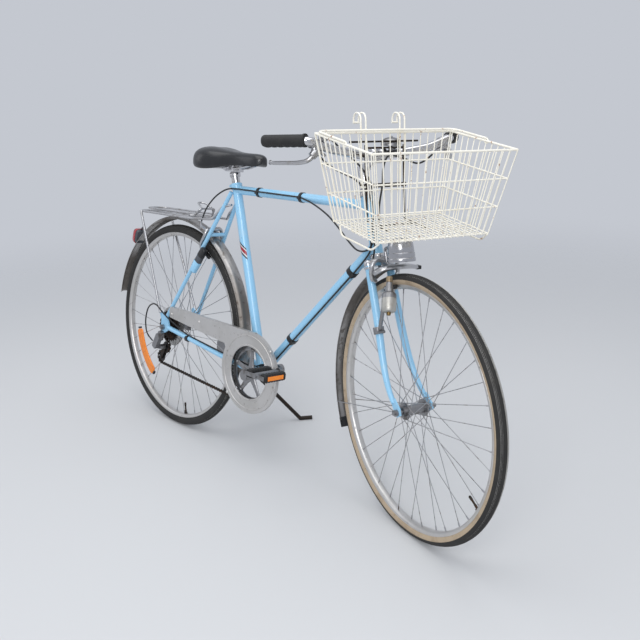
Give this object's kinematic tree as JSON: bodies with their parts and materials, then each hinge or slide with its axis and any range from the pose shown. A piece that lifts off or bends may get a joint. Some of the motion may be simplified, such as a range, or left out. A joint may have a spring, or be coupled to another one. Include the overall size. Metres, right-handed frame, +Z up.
{
  "type": "bicycle",
  "caption": "Step-over city bicycle with wire basket, mudguards, chain guard, rack and lamps, leaning on its side stand with the front wheel turned.",
  "frame": {"origin": "centre of the footprint box, on the floor under both tyres and the stand's foot", "axes": "+X to the front, +Y to the rider's left, +Z up; the bicycle leans to +Y on its side stand"},
  "size_m": [1.7575, 0.5638, 1.0206],
  "materials": {
    "enamel": "gloss",
    "chrome": "polished",
    "steel": "satin",
    "dark_steel": "worn",
    "aluminium": "satin",
    "spoke_wire": "satin",
    "saddle_cover": "matte",
    "tyre": "matte",
    "black_rubber": "matte",
    "lamp_plastic": "gloss",
    "lock_plastic": "satin",
    "clear_plastic": "gloss",
    "basket_wire": "satin"
  },
  "bodies": {
    "frame": {"head_tube": "enamel", "top_tube": "enamel", "down_tube": "enamel", "seat_tube": "enamel", "bottom_bracket": "enamel", "chain_stays": "enamel", "seat_stays": "enamel", "dropouts": "enamel", "headset": "chrome", "seat_post": "chrome", "saddle": "saddle_cover", "saddle_rails": "chrome", "rear_mudguard": "aluminium", "rack": "chrome", "tail_lamp": "lamp_plastic", "chain_guard": "aluminium", "chain": "dark_steel", "derailleur_cage": "dark_steel", "derailleur_body": "steel", "rear_brake": "steel", "wheel_lock": "lock_plastic", "rear_axle": "chrome", "stand_bracket": "steel"},
    "steering": {"fork": "enamel", "front_axle": "chrome", "front_mudguard": "aluminium", "stem": "chrome", "handlebar": "chrome", "grips": "black_rubber", "brake_levers": "chrome", "bell": "chrome", "head_lamp": "aluminium", "dynamo": "aluminium", "front_brake": "steel", "basket_rear": "basket_wire", "basket_front": "basket_wire", "basket_right": "basket_wire", "basket_left": "basket_wire", "basket_floor": "basket_wire", "basket_bearer": "basket_wire"},
    "front_wheel": {"front_tyre": "tyre", "front_rim": "aluminium", "front_spokes": "spoke_wire", "front_hub": "aluminium"},
    "rear_wheel": {"rear_tyre": "tyre", "rear_rim": "aluminium", "rear_spokes": "spoke_wire", "rear_hub": "aluminium", "freewheel": "dark_steel", "spoke_protector": "clear_plastic"},
    "crank_set": {"crank_axle": "steel", "chainring": "steel", "crank_right": "steel", "crank_left": "steel"},
    "pedal_right": {"pedal_right": "black_rubber"},
    "pedal_left": {"pedal_left": "black_rubber"},
    "stand": {"kickstand": "dark_steel"}
  },
  "joints": [
    {"name": "steering", "type": "hinge", "parent": "frame", "child": "steering", "pos_m": [0.34317, -0.02385, 0.77052], "axis": [-0.342, 0.1373, 0.9296], "range_deg": [-35, 65]},
    {"name": "front_wheel_spin", "type": "hinge", "parent": "steering", "child": "front_wheel", "pos_m": [0.54811, -0.09939, 0.34073], "axis": [0.2495, 0.967, -0.051], "continuous": true},
    {"name": "rear_wheel_spin", "type": "hinge", "parent": "frame", "child": "rear_wheel", "pos_m": [-0.51037, -0.0875, 0.33948], "axis": [0, 0.9893, -0.1461], "continuous": true},
    {"name": "crank_turn", "type": "hinge", "parent": "frame", "child": "crank_set", "pos_m": [-0.05837, -0.09553, 0.28507], "axis": [0, 0.9893, -0.1461], "continuous": true},
    {"name": "pedal_right_spin", "type": "hinge", "parent": "crank_set", "child": "pedal_right", "pos_m": [0.1042, -0.21193, 0.3525], "axis": [0, 0.9893, -0.1461], "continuous": true},
    {"name": "pedal_left_spin", "type": "hinge", "parent": "crank_set", "child": "pedal_left", "pos_m": [-0.22095, 0.02086, 0.21764], "axis": [0, 0.9893, -0.1461], "continuous": true},
    {"name": "stand_fold", "type": "hinge", "parent": "frame", "child": "stand", "pos_m": [-0.32037, -0.02651, 0.287], "axis": [-0.3351, 0.9409, -0.0494], "range_deg": [0, 126.3]}
  ]
}
